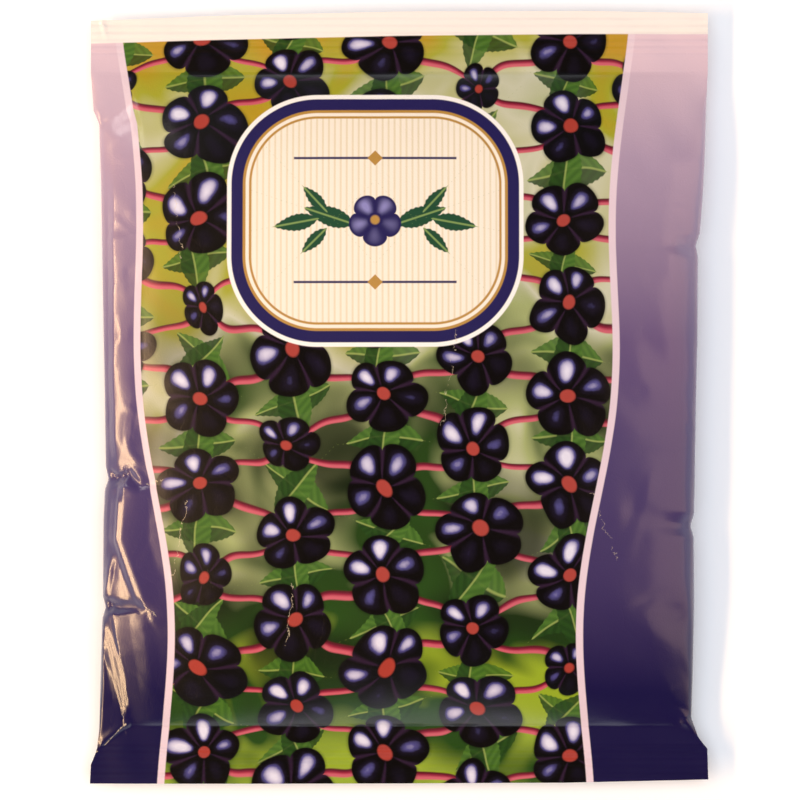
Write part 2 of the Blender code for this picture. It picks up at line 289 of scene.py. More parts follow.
@dataclass
class FilmPacket:
    """The packet's film: front, back, welded bands, lap seam, creases and folds."""

    form: PacketForm = field(default_factory=PacketForm)
    columns: int = 156
    rows: int = 310
    seal_row_share: float = 0.25      # share of the rows that the welded bands take
    rib_pitch: float = 1.5
    rib_rise: float = 0.15
    random_creases: int = 70
    seed: int = 11
    ripple_rise: float = 0.07
    creases: tuple = (
        # left side fold: a long soft ridge
        Crease(((-59.9, 52.0, 0.0), (-59.8, 34.0, 0.55), (-59.7, 4.0, 0.64),
                (-59.4, -9.0, 0.60), (-59.0, -14.0, 0.1)), 1.4, 6.0),
        # the first crease
        Crease(((-62.0, -15.4, -0.4), (-59.2, -17.0, -0.95), (-56.6, -16.0, -0.95),
                (-54.4, -18.4, -0.55), (-50.6, -17.8, -0.1)), 1.5, 1.1),
        Crease(((-61.6, -19.6, 0.0), (-57.6, -19.0, 0.3), (-54.2, -20.0, 0.0)), 1.2),
        # a ridge that parts into an inverted V above the second crease
        Crease(((-57.6, -19.6, 0.75), (-58.3, -30.0, 1.05), (-56.3, -37.0, 0.95),
                (-53.0, -44.2, 0.5)), 1.6, 5.6),
        Crease(((-59.6, -32.0, 0.0), (-60.7, -36.0, 0.25), (-61.6, -42.8, 0.25)), 1.1, 0.9),
        Crease(((-62.4, -43.4, -1.0), (-58.8, -44.2, -0.9), (-54.8, -43.8, -0.4),
                (-51.2, -45.6, -0.1)), 1.4, 1.8),
        # film drawn in beside the lens-shaped facet, and flattened on its other side
        Crease(((-61.2, -54.0, 0.0), (-60.0, -60.0, -0.35), (-59.0, -64.2, -0.55),
                (-58.2, -68.0, -0.5)), 3.4, 0.3),
        Crease(((-60.0, -47.0, 0.1), (-58.5, -54.7, 0.32), (-57.4, -62.0, 0.1)), 0.4, 5.5),
        # the fold at the corner, and a soft ridge beside it
        Crease(((-65.0, -74.6, 0.35), (-61.0, -71.5, 0.60), (-57.3, -68.9, 0.62)), 1.0, 1.3),
        Crease(((-54.0, -47.0, 0.15), (-52.6, -56.0, 0.22), (-51.5, -65.0, 0.0)), 2.6),
        # right side fold: broad soft facets
        Crease(((50.0, 34.0, 0.0), (57.0, 32.4, -0.16), (62.6, 31.8, -0.35)), 2.6),
        Crease(((47.0, -23.0, 0.0), (56.0, -26.2, -0.20), (61.4, -27.0, -0.40)), 2.8),
        Crease(((50.0, -40.0, 0.0), (55.0, -58.0, 0.30), (60.4, -67.8, 0.45)), 4.5),
        Crease(((60.2, -68.2, 0.55), (64.4, -71.2, 0.4)), 1.3),
        Crease(((56.5, 62.0, 0.0), (57.5, 40.0, 0.14), (57.2, 10.0, 0.16),
                (56.0, -22.0, 0.05)), 5.0),
        Crease(((57.0, -6.0, 0.0), (51.5, -20.0, 0.16), (47.0, -36.0, 0.0)), 4.0, 2.0),
        Crease(((53.5, -12.0, 0.0), (49.0, -24.0, -0.16), (46.0, -32.0, 0.0)), 2.6),
        # top left corner
        Crease(((-63.2, 57.6, -0.5), (-60.0, 59.4, -0.4), (-55.0, 62.5, 0.0)), 2.0),
        Crease(((-64.0, 60.8, 0.35), (-62.0, 58.4, 0.0)), 0.8),
        Crease(((-62.6, 79.0, 0.35), (-61.4, 74.5, 0.0)), 0.8),
        # fine creases in the picture
        Crease(((-45.0, -21.8, -0.04), (-46.6, -30.0, -0.10), (-48.4, -40.4, -0.03)), 0.9),
        Crease(((-22.0, -37.5, -0.03), (-22.8, -45.0, -0.08), (-24.0, -51.0, -0.03)), 0.9),
    )

    facets: tuple = (
        # a flare over the first crease
        Facet(((-7.5, -57.7), (-11.0, -58.1), (-13.3, -58.9), (-15.2, -59.3)),
              ((-7.5, -57.5), (-11.0, -56.8), (-13.3, -55.2), (-15.2, -54.4)), flank=1.6,
              reach=1.2),
        # the ridge, and the two arms of the inverted V
        Facet(((-19.6, -58.9), (-30.0, -59.5), (-44.2, -54.4)),
              ((-19.6, -57.4), (-30.0, -58.2), (-44.2, -52.9)), flank=1.6),
        Facet(((-32.5, -60.2), (-42.8, -62.2)), ((-32.5, -59.9), (-42.8, -61.4)), flank=0.9),
        # a dull facet by the outline, and the lens-shaped one down to the corner
        Facet(((-47.5, -62.3), (-58.0, -62.3), (-70.0, -62.6)),
              ((-47.5, -62.1), (-54.7, -61.1), (-60.0, -60.0), (-64.2, -59.0), (-70.0, -58.0)),
              slope=0.12, flank=0.6),
        Facet(((-45.9, -62.2), (-50.1, -61.9), (-54.7, -61.1), (-60.0, -60.0), (-64.2, -59.0),
               (-68.2, -57.7)),
              ((-45.9, -62.0), (-51.1, -59.8), (-54.7, -58.5), (-58.9, -57.5), (-64.2, -57.2),
               (-68.2, -57.5)), flank=0.9, wave=0.012),
    )

    def stations(self) -> tuple:
        """Spread the mesh over the flat film, closest where the film is creased.

        Returns:
            Places of the columns and of the rows on the flat film, in millimetres.
        """
        half = self.form.flat_half
        across = np.linspace(-half, half, 2001)
        density = 0.6 + 2.6 * np.exp(-((across + half - 5.0) / 7.0) ** 2)
        density += 0.9 * np.exp(-((across - half) / 10.0) ** 2)
        total = np.concatenate([[0.0], np.cumsum((density[1:] + density[:-1]) / 2)])
        columns = np.interp(np.linspace(0.0, total[-1], self.columns + 1), total, across)
        seal = round(self.rows * self.seal_row_share / 2)
        end = self.form.length / 2
        low = np.linspace(-end, self.form.bottom, seal + 1)
        share = np.linspace(0.0, 1.0, self.rows - 2 * seal + 1)
        share = share - 0.24 * share * (1.0 - share)
        body = self.form.bottom + (self.form.top - self.form.bottom) * share
        high = np.linspace(self.form.top, end, seal + 1)
        return columns, np.concatenate([low, body[1:], high[1:]])

    def section(self, along: float, film: np.ndarray, face: Face) -> tuple:
        """Lay one row of flat film along the packet's cross-section, true to length.

        Args:
            along: the row's place along the packet.
            film: places of the columns on the flat film.
            face: the front or the back.

        Returns:
            Signed shares of the half width, and distances across.
        """
        angle = np.linspace(-math.pi / 2, math.pi / 2, 721)
        share = np.sin(angle)
        here = np.full_like(share, along)
        left = self.form.half_width(Side.LEFT, here)
        right = self.form.half_width(Side.RIGHT, here)
        across = share * np.where(share < 0, left, right)
        upper, lower = self.form.heights(share, across, here)
        height = upper if face is Face.FRONT else lower
        steps = np.hypot(np.diff(across), np.diff(height))
        run = np.concatenate([[0.0], np.cumsum(steps)])
        run -= np.interp(0.0, across, run)
        flat, true = self.form.flat_half, self.form.true_half
        wanted = np.interp(film, (-flat, -true, true, flat), (run[0], -true, true, run[-1]))
        shares = np.interp(wanted, run, share)
        return shares, np.interp(wanted, run, across)

    def skin(self, face: Face, columns: np.ndarray, rows: np.ndarray) -> np.ndarray:
        """Work out the points of one face, row by row.

        Args:
            face: the front or the back.
            columns: places of the columns on the flat film.
            rows: places of the rows on the flat film.

        Returns:
            An array of rows by columns by three, in millimetres.
        """
        points = np.zeros((len(rows), len(columns), 3))
        for index, along in enumerate(rows):
            share, across = self.section(float(along), columns, face)
            here = np.full_like(across, along)
            upper, lower = self.form.heights(share, across, here)
            points[index, :, 0] = across
            points[index, :, 1] = self.form.place(across, here)
            points[index, :, 2] = upper if face is Face.FRONT else lower
        along = np.broadcast_to(rows[:, None], points.shape[:2])
        points[..., 2] += self.ribs(points[..., 0], points[..., 1])
        if face is Face.FRONT:
            points += self.normals(points) * self.front_relief(points, along)[..., None]
            for facet in self.facets:
                facet.press(points, rows)
        return points

    def ribs(self, across: np.ndarray, place: np.ndarray) -> np.ndarray:
        """Height of the fine ribs pressed into the welded bands."""
        form = self.form
        past = np.maximum(form.bottom - place, place - form.top)
        edge = np.where(place < 0, form.bottom_seal, form.top_seal) - past
        strength = form.ease((past - 3.0) / 1.2) * form.ease((edge - 0.6) / 0.8)
        uneven = 0.7 + 0.3 * np.sin(across / 9.0 + 1.0) * np.sin(place)
        return self.rib_rise * np.sin(past * 2.0 * math.pi / self.rib_pitch) * strength * uneven

    @staticmethod
    def normals(points: np.ndarray) -> np.ndarray:
        """Upward unit normals of a grid of points."""
        right = np.gradient(points, axis=1)
        up = np.gradient(points, axis=0)
        normal = np.cross(right, up)
        return normal / np.linalg.norm(normal, axis=2, keepdims=True)

    def front_relief(self, points: np.ndarray, along: np.ndarray) -> np.ndarray:
        """Creases, ridges and puckers of the front, in millimetres."""
        across, place = points[..., 0], points[..., 1]
        relief = np.zeros_like(across)
        for crease in self.creases:
            relief += crease.lift(across, place)
        relief += self.small_creases(across, place)
        relief += self.ripples(across, place)
        relief += self.puckers(across, along)
        edge = np.where(across < 0, self.form.half_width(Side.LEFT, along),
                        self.form.half_width(Side.RIGHT, along)) - np.abs(across)
        return relief * self.form.ease(edge / 1.2)

    def small_creases(self, across: np.ndarray, place: np.ndarray) -> np.ndarray:
        """Short creases set at random, mostly by the side folds and the welds."""
        draw = np.random.default_rng(self.seed)
        relief = np.zeros_like(across)
        for _ in range(self.random_creases):
            side = draw.choice((-1.0, 1.0), p=(0.62, 0.38))
            x = side * (61.5 - abs(draw.normal(0.0, 7.0)))
            y = draw.uniform(self.form.bottom + 3.0, self.form.top - 2.0)
            turn = draw.normal(0.0, 0.5) + (math.pi / 2 if draw.random() < 0.35 else 0.0)
            reach = draw.uniform(1.5, 6.0)
            height = draw.choice((-1.0, 1.0)) * draw.uniform(0.03, 0.13)
            dx, dy = reach * math.cos(turn), reach * math.sin(turn)
            path = ((x - dx, y - dy, 0.0), (x, y, height), (x + dx, y + dy, 0.0))
            relief += Crease(path, draw.uniform(0.8, 1.8)).lift(across, place)
        return relief

    def ripples(self, across: np.ndarray, place: np.ndarray) -> np.ndarray:
        """Slack ripples of the film, mostly towards the side folds."""
        draw = np.random.default_rng(self.seed + 1)
        relief = np.zeros_like(across)
        for _ in range(9):
            step = 2.0 * math.pi / draw.uniform(7.0, 18.0)
            turn = draw.normal(0.35, 0.45)
            start = draw.uniform(0.0, 2.0 * math.pi)
            wave = np.sin(step * (across * math.cos(turn) + place * math.sin(turn)) + start)
            relief += wave / 9.0 ** 0.5
        slack = self.form.ease((np.abs(across + 3.0) - 36.0) / 18.0)
        return self.ripple_rise * relief * (0.18 + 0.82 * slack)

    def puckers(self, across: np.ndarray, along: np.ndarray) -> np.ndarray:
        """Shallow gathers that run from the welds into the filled body."""
        low = along - self.form.bottom
        high = self.form.top - along
        near_low = np.exp(-low / 7.0) * self.form.ease(low / 1.5)
        near_high = np.exp(-high / 6.0) * self.form.ease(high / 1.5)
        wave_low = np.sin(across / 2.1 + 1.5 * np.sin(across / 9.0))
        wave_high = np.sin(across / 2.6 + 1.2 * np.sin(across / 11.0 + 1.0))
        return 0.10 * wave_low * near_low + 0.06 * wave_high * near_high

    def build(self) -> bpy.types.Object:
        """Model the packet from a grid, extruded to a slab and laid on its form.

        Returns:
            The finished piece, with its place in its mesh.
        """
        deselect()
        bpy.ops.mesh.primitive_grid_add(
            x_subdivisions=self.columns, y_subdivisions=self.rows, size=2.0)
        piece = bpy.context.object
        piece.name = "film_packet_skin"
        bpy.ops.object.mode_set(mode="EDIT")
        bpy.ops.mesh.select_all(action="SELECT")
        bpy.ops.mesh.extrude_region_move(TRANSFORM_OT_translate={"value": (0.0, 0.0, -1.0)})
        bpy.ops.mesh.select_all(action="SELECT")
        bpy.ops.mesh.normals_make_consistent(inside=False)
        bpy.ops.object.mode_set(mode="OBJECT")
        columns, rows = self.stations()
        column, row, is_front = self.grid_places(piece.data)
        front = self.skin(Face.FRONT, columns, rows)
        back = self.skin(Face.BACK, columns, rows)
        back[..., 2] = np.maximum(back[..., 2], 0.0)
        points = np.where(is_front[:, None], front[row, column], back[row, column]) * MM
        piece.data.vertices.foreach_set("co", points.astype(np.float32).ravel())
        piece.data.update()
        self.lay_map(piece.data, columns, rows, column, row, is_front)
        bpy.ops.object.shade_smooth_by_angle(angle=math.radians(50.0))
        return piece

    def grid_places(self, mesh: bpy.types.Mesh) -> tuple:
        """Find each vertex's column, row and face from the untouched grid."""
        flat = np.zeros(len(mesh.vertices) * 3, dtype=np.float32)
        mesh.vertices.foreach_get("co", flat)
        flat = flat.reshape(-1, 3)
        column = np.rint((flat[:, 0] + 1.0) / 2.0 * self.columns).astype(int)
        row = np.rint((flat[:, 1] + 1.0) / 2.0 * self.rows).astype(int)
        return column, row, flat[:, 2] > -0.5

    def lay_map(self, mesh: bpy.types.Mesh, columns: np.ndarray, rows: np.ndarray,
                column: np.ndarray, row: np.ndarray, is_front: np.ndarray) -> None:
        """Give the mesh a UV map that is the flat film, unrolled from the lap seam."""
        for layer in list(mesh.uv_layers):
            mesh.uv_layers.remove(layer)
        layer = mesh.uv_layers.new(name=FILM_MAP)
        corner = np.zeros(len(mesh.loops), dtype=np.int64)
        mesh.loops.foreach_get("vertex_index", corner)
        count = np.zeros(len(mesh.polygons), dtype=np.int64)
        mesh.polygons.foreach_get("loop_total", count)
        owner = np.repeat(np.arange(len(count)), count)
        fronts = np.bincount(owner, weights=is_front[corner].astype(float)) / count
        reach = np.bincount(owner, weights=columns[column[corner]]) / count
        across = columns[column[corner]]
        turned = np.where(reach[owner] > self.form.lap_half, 2.0, -2.0) * self.form.flat_half
        across = np.where(fronts[owner] > 0.01, across, turned - across)
        layer_values = np.stack([across, rows[row[corner]]], axis=1) / SHEET_MM + 0.5
        layer.data.foreach_set("uv", layer_values.astype(np.float32).ravel())


# ---------------------------------------------------------------------- shader graphs


def paint(code: str) -> tuple:
    """Turn a hex colour into linear red, green, blue and alpha."""
    parts = [int(code[place:place + 2], 16) / 255.0 for place in (1, 3, 5)]
    linear = [part / 12.92 if part <= 0.04045 else ((part + 0.055) / 1.055) ** 2.4
              for part in parts]
    return (*linear, 1.0)


class Graph:
    """Adds nodes to one node tree and links them."""

    def __init__(self, tree: bpy.types.NodeTree) -> None:
        """Start on a node tree."""
        self.tree = tree

    def node(self, kind: str, **settings) -> bpy.types.Node:
        """Add a node, with its settings, to the right of the last."""
        node = self.tree.nodes.new(kind)
        count = len(self.tree.nodes)
        node.location = (170.0 * (count // 6), -150.0 * (count % 6))
        for name, value in settings.items():
            setattr(node, name, value)
        return node

    def feed(self, socket: bpy.types.NodeSocket, value) -> None:
        """Link a socket to another, or set its constant."""
        if isinstance(value, bpy.types.NodeSocket):
            self.tree.links.new(value, socket)
        else:
            socket.default_value = value

    def math(self, operation: str, *values, clamp: bool = False) -> bpy.types.NodeSocket:
        """Add a maths node."""
        node = self.node("ShaderNodeMath", operation=operation, use_clamp=clamp)
        for socket, value in zip(node.inputs, values):
            self.feed(socket, value)
        return node.outputs[0]

    def add(self, *values) -> bpy.types.NodeSocket:
        """Add up two or more values."""
        total = values[0]
        for value in values[1:]:
            total = self.math("ADD", total, value)
        return total

    def times(self, *values) -> bpy.types.NodeSocket:
        """Multiply two or more values."""
        total = values[0]
        for value in values[1:]:
            total = self.math("MULTIPLY", total, value)
        return total

    def minus(self, first, second) -> bpy.types.NodeSocket:
        """Subtract the second value from the first."""
        return self.math("SUBTRACT", first, second)

    def spread(self, value, low: float, high: float) -> bpy.types.NodeSocket:
        """Ease a value from 0 at low to 1 at high, which may be the lower number."""
        node = self.node("ShaderNodeMapRange", interpolation_type="SMOOTHSTEP")
        self.feed(node.inputs["Value"], value)
        node.inputs["From Min"].default_value = low
        node.inputs["From Max"].default_value = high
        return node.outputs["Result"]

    def inside(self, distance, softness: float = 0.22) -> bpy.types.NodeSocket:
        """Mask of where a distance to an outline is negative, with a soft edge."""
        return self.math("SUBTRACT", 0.5, self.math("DIVIDE", distance, softness), clamp=True)

    def mix(self, factor, first, second, blend: str = "MIX") -> bpy.types.NodeSocket:
        """Mix two colours."""
        node = self.node("ShaderNodeMix", data_type="RGBA", blend_type=blend)
        self.feed(node.inputs[0], factor)
        self.feed(node.inputs[6], first)
        self.feed(node.inputs[7], second)
        return node.outputs[2]

    def vector(self, x=0.0, y=0.0, z=0.0) -> bpy.types.NodeSocket:
        """Combine three values."""
        node = self.node("ShaderNodeCombineXYZ")
        for socket, value in zip(node.inputs, (x, y, z)):
            self.feed(socket, value)
        return node.outputs[0]

    def length(self, x, y) -> bpy.types.NodeSocket:
        """Length of a flat vector."""
        node = self.node("ShaderNodeVectorMath", operation="LENGTH")
        self.feed(node.inputs[0], self.vector(x, y))
        return node.outputs["Value"]

    def ramp(self, factor, stops: tuple) -> bpy.types.NodeSocket:
        """Colour ramp through (place, hex colour) stops."""
        node = self.node("ShaderNodeValToRGB")
        self.feed(node.inputs[0], factor)
        elements = node.color_ramp.elements
        while len(elements) < len(stops):
            elements.new(0.5)
        for element, (place, code) in zip(elements, sorted(stops)):
            element.position = place
            element.color = paint(code)
        return node.outputs["Color"]

    def noise(self, vector, scale: float, detail: float = 2.0, rough: float = 0.5,
              warp: float = 0.0) -> bpy.types.NodeSocket:
        """Noise value on a flat pattern, about 0.5 on average."""
        node = self.node("ShaderNodeTexNoise", noise_dimensions="2D")
        self.feed(node.inputs["Vector"], vector)
        node.inputs["Scale"].default_value = scale
        node.inputs["Detail"].default_value = detail
        node.inputs["Roughness"].default_value = rough
        node.inputs["Distortion"].default_value = warp
        return node.outputs["Fac"]

    def group(self, tree: bpy.types.NodeTree, **values) -> dict:
        """Place a node group and feed its inputs by name.

        Args:
            tree: the group.
            values: sockets or constants, with underscores for spaces in their names.

        Returns:
            The group's outputs by name.
        """
        node = self.node("ShaderNodeGroup", node_tree=tree)
        for name, value in values.items():
            self.feed(node.inputs[name.replace("_", " ")], value)
        return {socket.name: socket for socket in node.outputs}


def new_group(name: str, inputs: dict, outputs: dict) -> tuple:
    """Start a shader node group.

    Args:
        name: the group's name.
        inputs: constants of the float inputs, by name.
        outputs: socket kinds of the outputs, by name.

    Returns:
        The tree, a graph on it, its input sockets by name, and its output node.
    """
    tree = bpy.data.node_groups.new(name, "ShaderNodeTree")
    for label, value in inputs.items():
        socket = tree.interface.new_socket(label, in_out="INPUT", socket_type="NodeSocketFloat")
        socket.default_value = value
    for label, kind in outputs.items():
        tree.interface.new_socket(label, in_out="OUTPUT", socket_type=kind)
    graph = Graph(tree)
    entry = graph.node("NodeGroupInput")
    leave = graph.node("NodeGroupOutput")
    return tree, graph, {socket.name: socket for socket in entry.outputs}, leave


VALUE = "NodeSocketFloat"
COLOUR = "NodeSocketColor"


def film_place_group() -> bpy.types.NodeTree:
    """Place on the flat film in millimetres, and on the back panel, from the film's map."""
    outputs = {"X": VALUE, "Y": VALUE, "Back X": VALUE, "Is Back": VALUE}
    tree, graph, _, leave = new_group("film place", {}, outputs)
    chart = graph.node("ShaderNodeUVMap", uv_map=FILM_MAP)
    parts = graph.node("ShaderNodeSeparateXYZ")
    graph.feed(parts.inputs[0], chart.outputs["UV"])
    x = graph.times(graph.minus(parts.outputs["X"], 0.5), SHEET_MM)
    y = graph.times(graph.minus(parts.outputs["Y"], 0.5), SHEET_MM)
    back = graph.minus(graph.times(graph.math("SIGN", x), 130.0), x)
    graph.feed(leave.inputs["X"], x)
    graph.feed(leave.inputs["Y"], y)
    graph.feed(leave.inputs["Back X"], back)
    graph.feed(leave.inputs["Is Back"], graph.math("GREATER_THAN", graph.math("ABSOLUTE", x), 65.0))
    return tree


def half_drop_group() -> bpy.types.NodeTree:
    """Fold the film into a half-drop repeat, with a random value for each place."""
    inputs = {"X": 0.0, "Y": 0.0, "Width": 20.0, "Height": 20.0, "Stray": 0.0}
    outputs = {"X": VALUE, "Y": VALUE, "Random": VALUE, "Second": VALUE}
    tree, graph, given, leave = new_group("half drop repeat", inputs, outputs)
    column = graph.math("ROUND", graph.math("DIVIDE", given["X"], given["Width"]))
    odd = graph.math("FLOORED_MODULO", column, 2.0)
    y = graph.add(given["Y"], graph.times(odd, graph.times(given["Height"], 0.5)))
    row = graph.math("ROUND", graph.math("DIVIDE", y, given["Height"]))
    chance = graph.node("ShaderNodeTexWhiteNoise", noise_dimensions="3D")
    graph.feed(chance.inputs["Vector"], graph.vector(column, row, 3.0))
    parts = graph.node("ShaderNodeSeparateColor")
    graph.feed(parts.inputs[0], chance.outputs["Color"])
    local_x = graph.minus(given["X"], graph.times(column, given["Width"]))
    local_y = graph.minus(y, graph.times(row, given["Height"]))
    stray_x = graph.times(graph.minus(parts.outputs[0], 0.5), given["Stray"])
    stray_y = graph.times(graph.minus(parts.outputs[1], 0.5), given["Stray"])
    graph.feed(leave.inputs["X"], graph.minus(local_x, stray_x))
    graph.feed(leave.inputs["Y"], graph.minus(local_y, stray_y))
    graph.feed(leave.inputs["Random"], parts.outputs[2])
    graph.feed(leave.inputs["Second"], parts.outputs[1])
    return tree


def rosette_group() -> bpy.types.NodeTree:
    """A five-petalled flower: its mask, its petals' light, its gaps and its heart."""
    inputs = {"X": 0.0, "Y": 0.0, "Radius": 8.0, "Turn": 0.0}
    outputs = {"Mask": VALUE, "Light": VALUE, "Gap": VALUE, "Heart": VALUE, "Shade": VALUE}
    tree, graph, given, leave = new_group("rosette", inputs, outputs)
    radius = graph.length(given["X"], given["Y"])
    angle = graph.math("ARCTAN2", given["Y"], given["X"])
    petal_angle = graph.times(graph.add(angle, given["Turn"]), 2.5)
    wave = graph.math("ABSOLUTE", graph.math("COSINE", petal_angle))
    bulge = graph.add(graph.times(graph.math("POWER", wave, 0.55), 0.26), 0.74)
    edge = graph.times(given["Radius"], bulge)
    share = graph.math("DIVIDE", radius, edge)
    graph.feed(leave.inputs["Mask"], graph.inside(graph.minus(radius, edge)))
    away = graph.math("DIVIDE", graph.minus(share, 0.60), 0.34)
    ring = graph.math("SUBTRACT", 1.0, graph.times(away, away), clamp=True)
    turned = graph.math("COSINE", graph.minus(angle, 2.1))
    lit = graph.math("MULTIPLY_ADD", turned, 0.42, 0.62, clamp=True)
    petal = graph.math("POWER", wave, 3.0)
    graph.feed(leave.inputs["Light"], graph.times(graph.times(petal, ring), lit))
    gap = graph.times(graph.spread(wave, 0.32, 0.0), graph.spread(share, 0.15, 0.4))
    graph.feed(leave.inputs["Gap"], gap)
    heart = graph.minus(radius, graph.times(given["Radius"], 0.17))
    graph.feed(leave.inputs["Heart"], graph.inside(heart, 0.4))
    graph.feed(leave.inputs["Shade"], graph.spread(share, 1.10, 0.95))
    return tree


def leaf_group() -> bpy.types.NodeTree:
    """A pointed leaf that lies along Y after it is turned: its mask, rib and veins."""
    inputs = {"X": 0.0, "Y": 0.0, "Turn": 0.0, "Half Length": 7.0, "Half Width": 3.0}
    outputs = {"Mask": VALUE, "Rib": VALUE, "Light": VALUE}
    tree, graph, given, leave = new_group("leaf", inputs, outputs)
    sine = graph.math("SINE", given["Turn"])
    cosine = graph.math("COSINE", given["Turn"])
    x = graph.add(graph.times(given["X"], cosine), graph.times(given["Y"], sine))
    y = graph.minus(graph.times(given["Y"], cosine), graph.times(given["X"], sine))
    share = graph.math("DIVIDE", y, given["Half Length"])
    taper = graph.math("SUBTRACT", 1.0, graph.times(share, share), clamp=True)
    skew = graph.math("SUBTRACT", 1.0, graph.times(share, 0.28))
    saw = graph.math("PINGPONG", graph.add(y, 50.0), 0.55)
    edge = graph.times(graph.times(given["Half Width"], taper), skew)
    edge = graph.minus(edge, graph.times(saw, 0.35))
    side = graph.math("ABSOLUTE", x)
    graph.feed(leave.inputs["Mask"], graph.inside(graph.minus(side, edge)))
    graph.feed(leave.inputs["Rib"], graph.inside(graph.minus(side, 0.18), 0.25))
    veins = graph.math("SINE", graph.times(graph.minus(y, graph.times(side, 0.9)), 3.4))
    bright = graph.add(graph.times(veins, 0.08), graph.times(graph.math("SIGN", x), 0.20))
    graph.feed(leave.inputs["Light"], graph.add(bright, 0.5))
    return tree


def plaque_group() -> bpy.types.NodeTree:
    """Distance to a rectangle with rounded corners, negative inside."""
    inputs = {"X": 0.0, "Y": 0.0, "Half Width": 30.0, "Half Height": 20.0, "Corner": 8.0}
    tree, graph, given, leave = new_group("plaque distance", inputs, {"Distance": VALUE})
    past_x = graph.minus(graph.math("ABSOLUTE", given["X"]),
                         graph.minus(given["Half Width"], given["Corner"]))
    past_y = graph.minus(graph.math("ABSOLUTE", given["Y"]),
                         graph.minus(given["Half Height"], given["Corner"]))
    outer = graph.length(graph.math("MAXIMUM", past_x, 0.0), graph.math("MAXIMUM", past_y, 0.0))
    inner = graph.math("MINIMUM", graph.math("MAXIMUM", past_x, past_y), 0.0)
    graph.feed(leave.inputs["Distance"], graph.minus(graph.add(outer, inner), given["Corner"]))
    return tree


def glint_line_group() -> bpy.types.NodeTree:
    """A short pale line along a sharp fold: a painted glint, where the fold catches the light."""
    inputs = {"X": 0.0, "Y": 0.0, "From X": 0.0, "From Y": 0.0, "To X": 1.0, "To Y": 1.0,
              "Wander": 0.8, "Width": 0.12, "Wobble": 0.5, "Breaks": 0.5}
    tree, graph, given, leave = new_group("glint_line", inputs, {"Mask": VALUE})
    run_x = graph.minus(given["To X"], given["From X"])
    run_y = graph.minus(given["To Y"], given["From Y"])
    x = graph.minus(given["X"], given["From X"])
    y = graph.minus(given["Y"], given["From Y"])
    whole = graph.length(run_x, run_y)
    unit_x = graph.math("DIVIDE", run_x, whole)
    unit_y = graph.math("DIVIDE", run_y, whole)
    along = graph.add(graph.times(x, unit_x), graph.times(y, unit_y))
    beside = graph.minus(graph.times(x, unit_y), graph.times(y, unit_x))
    sway = graph.times(graph.minus(given["Wobble"], 0.5), given["Wander"])
    away = graph.math("ABSOLUTE", graph.add(beside, sway))
    share = graph.math("DIVIDE", along, whole)
    ends = graph.times(graph.math("GREATER_THAN", share, 0.0), graph.math("LESS_THAN", share, 1.0))
    line = graph.inside(graph.minus(away, given["Width"]), 0.16)
    broken = graph.spread(given["Breaks"], 0.42, 0.55)
    graph.feed(leave.inputs["Mask"], graph.times(graph.times(line, ends), broken))
    return tree


def dried_skin_group() -> bpy.types.NodeTree:
    """Wrinkles and dull patches of dried berry skin, on object coordinates."""
    inputs = {"Wrinkle Scale": 900.0, "Patch Scale": 260.0}
    outputs = {"Height": VALUE, "Patch": VALUE}
    tree, graph, given, leave = new_group("dried skin", inputs, outputs)
    place = graph.node("ShaderNodeTexCoord").outputs["Object"]
    folds = graph.node("ShaderNodeTexVoronoi", feature="DISTANCE_TO_EDGE")
    graph.feed(folds.inputs["Vector"], place)
    graph.feed(folds.inputs["Scale"], given["Wrinkle Scale"])
    patch = graph.node("ShaderNodeTexNoise")
    graph.feed(patch.inputs["Vector"], place)
    graph.feed(patch.inputs["Scale"], given["Patch Scale"])
    graph.feed(leave.inputs["Height"], graph.spread(folds.outputs["Distance"], 0.0, 0.25))
    graph.feed(leave.inputs["Patch"], patch.outputs["Fac"])
    return tree


# ------------------------------------------------------------------------- finishes


